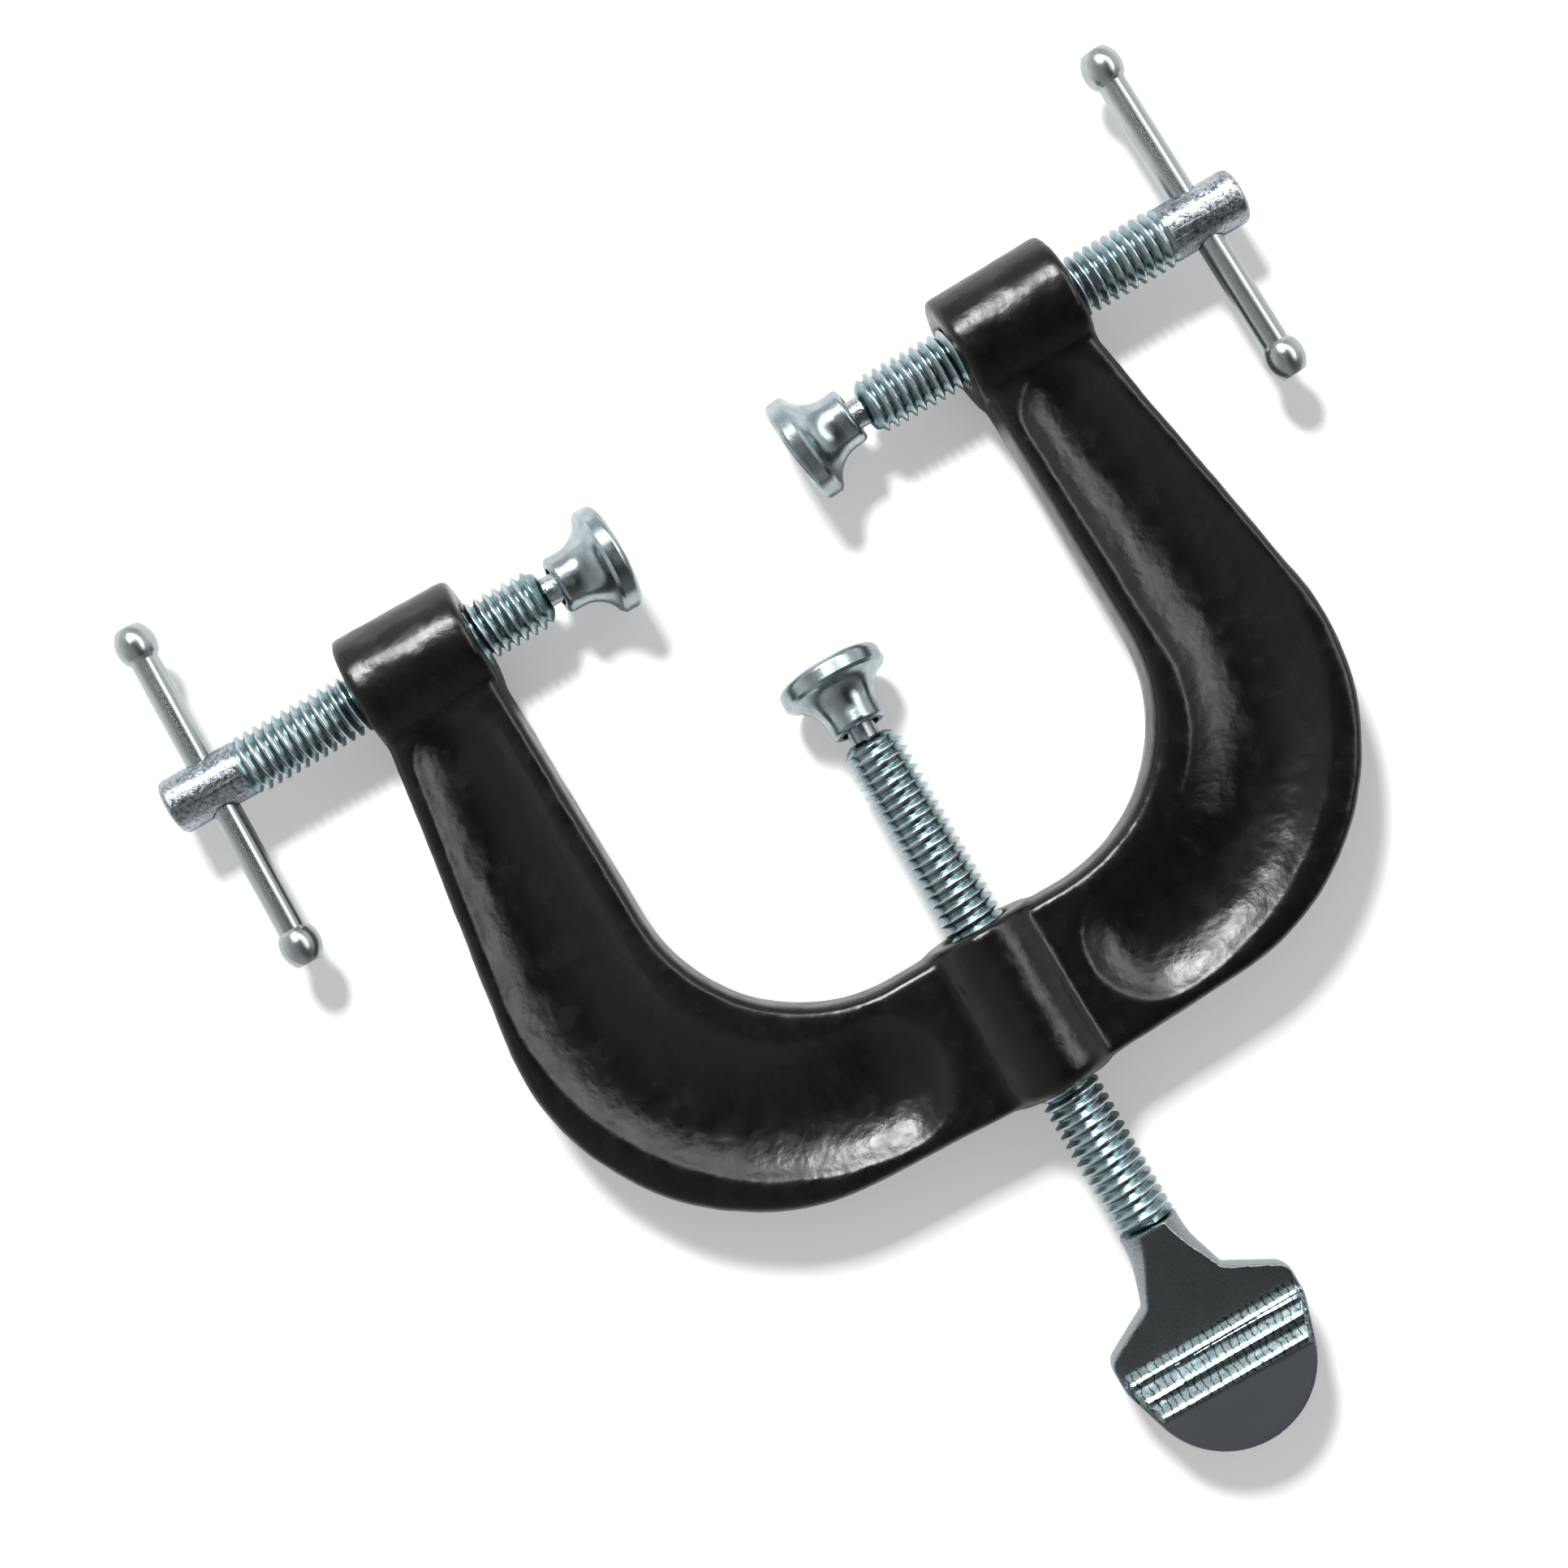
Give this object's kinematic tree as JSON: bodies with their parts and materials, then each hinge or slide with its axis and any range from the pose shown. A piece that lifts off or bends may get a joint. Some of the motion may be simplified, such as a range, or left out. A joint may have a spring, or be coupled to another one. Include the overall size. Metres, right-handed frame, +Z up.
{
  "type": "three-way edging c clamp",
  "caption": "Cast C-frame clamp with two opposed T-handle jaw screws, an edge screw through its back with a flat thumb head, and swivel pads.",
  "frame": {"origin": "centre of the footprint of the clamp as it lies flat, on the surface it lies on", "axes": "+X along the jaw screws from the left jaw to the right one, +Y from the back of the frame to its open side, +Z up, at right angles to the plane of the frame"},
  "size_m": [0.1844, 0.1932, 0.0195],
  "materials": {
    "black_enamel": "satin black enamel over rough cast iron",
    "zinc_screw": "bright zinc plate with a blue-green passivation tint on the rolled thread",
    "zinc_handle": "bright zinc plate over drawn bar, lightly scuffed",
    "zinc_pad": "blue-grey zinc plate over a turned or pressed pad",
    "spring_steel": "plain oiled spring wire"
  },
  "bodies": {
    "frame": {"frame": "black_enamel"},
    "left_carrier": {"left_ring": "spring_steel"},
    "left_screw": {"left_screw": "zinc_screw"},
    "left_pad": {"left_pad": "zinc_pad"},
    "right_carrier": {"right_ring": "spring_steel"},
    "right_screw": {"right_screw": "zinc_screw"},
    "right_pad": {"right_pad": "zinc_pad"},
    "edge_carrier": {"edge_ring": "spring_steel"},
    "edge_screw": {"edge_screw": "zinc_screw"},
    "edge_pad": {"edge_pad": "zinc_pad"},
    "left_handle": {"left_handle": "zinc_handle"},
    "right_handle": {"right_handle": "zinc_handle"}
  },
  "joints": [
    {"name": "left_travel", "type": "slide", "parent": "frame", "child": "left_carrier", "axis": [1, 0, 0], "range_m": [-0.0127, 0.0168]},
    {"name": "left_turn", "type": "hinge", "parent": "left_carrier", "child": "left_screw", "pos_m": [-0.02195, 0.06722, 0.00978], "axis": [1, 0, 0], "range_deg": [-2880.1, 3809.9]},
    {"name": "left_pad_tilt", "type": "hinge", "parent": "left_carrier", "child": "left_pad", "pos_m": [-0.02195, 0.06722, 0.00978], "axis": [0, -1, 0], "range_deg": [0, 21]},
    {"name": "right_travel", "type": "slide", "parent": "frame", "child": "right_carrier", "axis": [-1, 0, 0], "range_m": [-0.0162, 0.0103]},
    {"name": "right_turn", "type": "hinge", "parent": "right_carrier", "child": "right_screw", "pos_m": [0.02195, 0.06722, 0.00978], "axis": [-1, 0, 0], "range_deg": [-3673.8, 2335.8]},
    {"name": "right_pad_tilt", "type": "hinge", "parent": "right_carrier", "child": "right_pad", "pos_m": [0.02195, 0.06722, 0.00978], "axis": [0, 0.866, -0.5], "range_deg": [0, 21]},
    {"name": "edge_travel", "type": "slide", "parent": "frame", "child": "edge_carrier", "axis": [0, 1, 0], "range_m": [-0.0332, 0.0196]},
    {"name": "edge_turn", "type": "hinge", "parent": "edge_carrier", "child": "edge_screw", "pos_m": [0.00325, 0.02982, 0.00978], "axis": [0, 1, 0], "range_deg": [-7528.9, 4444.8]},
    {"name": "edge_pad_tilt", "type": "hinge", "parent": "edge_carrier", "child": "edge_pad", "pos_m": [0.00325, 0.02982, 0.00978], "axis": [1, 0, 0], "range_deg": [0, 21]},
    {"name": "left_handle_slide", "type": "slide", "parent": "left_screw", "child": "left_handle", "axis": [0.0209, 0.9998, 0], "range_m": [-0.0167, 0.0201]},
    {"name": "right_handle_slide", "type": "slide", "parent": "right_screw", "child": "right_handle", "axis": [-0.0384, 0.9993, 0], "range_m": [-0.0192, 0.0176]}
  ],
  "couplings": [
    {"joint": "left_turn", "follows": "left_travel", "rad_per_m": 3957.9},
    {"joint": "right_turn", "follows": "right_travel", "rad_per_m": 3957.9},
    {"joint": "edge_turn", "follows": "edge_travel", "rad_per_m": 3957.9}
  ]
}
